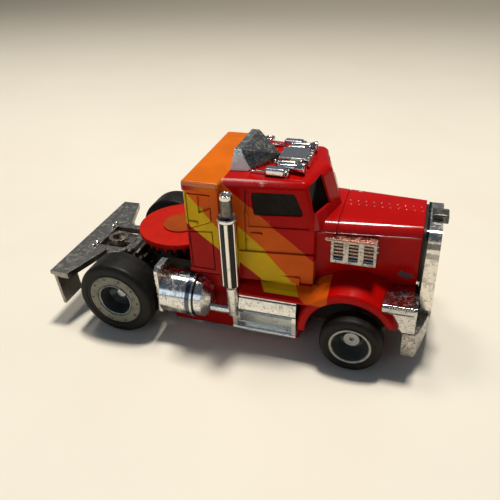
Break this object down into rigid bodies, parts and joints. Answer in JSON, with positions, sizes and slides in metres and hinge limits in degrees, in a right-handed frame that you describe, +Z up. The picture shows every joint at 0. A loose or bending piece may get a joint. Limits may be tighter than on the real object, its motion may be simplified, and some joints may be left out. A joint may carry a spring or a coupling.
{
  "type": "decorated toy truck tractor",
  "caption": "Pocket-size toy truck tractor with a long hood and sleeper cab, bright trim, free rolling wheels and an open gear train behind the cab.",
  "frame": {"origin": "middle of the truck's outline at the ground under its wheels", "axes": "+X forward along the truck, +Y to its left side, +Z up"},
  "size_m": [0.0618, 0.0284, 0.0303],
  "materials": {
    "red_body": "gloss, with orange, yellow and dark red stripes",
    "dark_glazing": "smoked, satin",
    "worn_chrome": "plated plastic, mottled and worn",
    "bright_chrome": "plated plastic",
    "tyre_black": "matt",
    "black_plastic": "satin",
    "dark_chassis": "satin",
    "brown_plastic": "satin",
    "orange_gear": "matt",
    "steel": "drawn",
    "motor_can": "plated sheet",
    "copper": "bare strip"
  },
  "bodies": {
    "truck": {"air_cleaner_left": "bright_chrome", "air_cleaner_right": "bright_chrome", "body_shell": "red_body", "chassis": "dark_chassis", "exhaust_stack_left": "bright_chrome", "exhaust_stack_right": "bright_chrome", "front_bumper": "bright_chrome", "fuel_tank_left": "worn_chrome", "fuel_tank_right": "worn_chrome", "gear_plate": "dark_chassis", "grille_insert": "dark_chassis", "headlamp_box_left": "bright_chrome", "headlamp_box_right": "bright_chrome", "hitch_frame": "worn_chrome", "horn_set": "bright_chrome", "idler_bearing": "brown_plastic", "motor": "motor_can", "pickup_shoe_left": "copper", "pickup_shoe_right": "copper", "radiator_cap": "bright_chrome", "radiator_surround": "bright_chrome", "rear_bar": "worn_chrome", "side_glass_left": "dark_glazing", "side_glass_right": "dark_glazing", "step_box_left": "bright_chrome", "step_box_right": "bright_chrome", "wind_deflector": "bright_chrome", "windscreen": "dark_glazing"},
    "rear_axle": {"rear_axle_rod": "steel", "axle_gear": "black_plastic", "rear_rim_left": "bright_chrome", "rear_rim_right": "bright_chrome", "rear_tyre_left": "tyre_black", "rear_tyre_right": "tyre_black"},
    "front_axle": {"front_axle_rod": "steel", "front_rim_left": "bright_chrome", "front_rim_right": "bright_chrome", "front_tyre_left": "tyre_black", "front_tyre_right": "tyre_black"},
    "idler": {"idler_pinion": "black_plastic"},
    "crown": {"crown_gear": "orange_gear"},
    "motor_drive": {"motor_pinion": "black_plastic"}
  },
  "joints": [
    {"name": "rear_axle_spin", "type": "hinge", "parent": "truck", "child": "rear_axle", "pos_m": [-0.01851, 0, 0.0065], "axis": [0, 1, 0], "continuous": true},
    {"name": "front_axle_spin", "type": "hinge", "parent": "truck", "child": "front_axle", "pos_m": [0.01959, 0, 0.0047], "axis": [0, 1, 0], "continuous": true},
    {"name": "idler_spin", "type": "hinge", "parent": "truck", "child": "idler", "pos_m": [-0.01196, 0, 0.01], "axis": [0, 1, 0], "continuous": true},
    {"name": "crown_spin", "type": "hinge", "parent": "truck", "child": "crown", "pos_m": [-0.01196, 0, 0.0127], "axis": [0, 0, 1], "continuous": true},
    {"name": "motor_spin", "type": "hinge", "parent": "truck", "child": "motor_drive", "pos_m": [-0.00566, 0, 0.01], "axis": [1, 0, 0], "continuous": true}
  ],
  "couplings": [
    {"joint": "idler_spin", "follows": "rear_axle_spin", "ratio": -1.75},
    {"joint": "crown_spin", "follows": "rear_axle_spin", "ratio": -0.75},
    {"joint": "motor_spin", "follows": "rear_axle_spin", "ratio": 1.75}
  ]
}
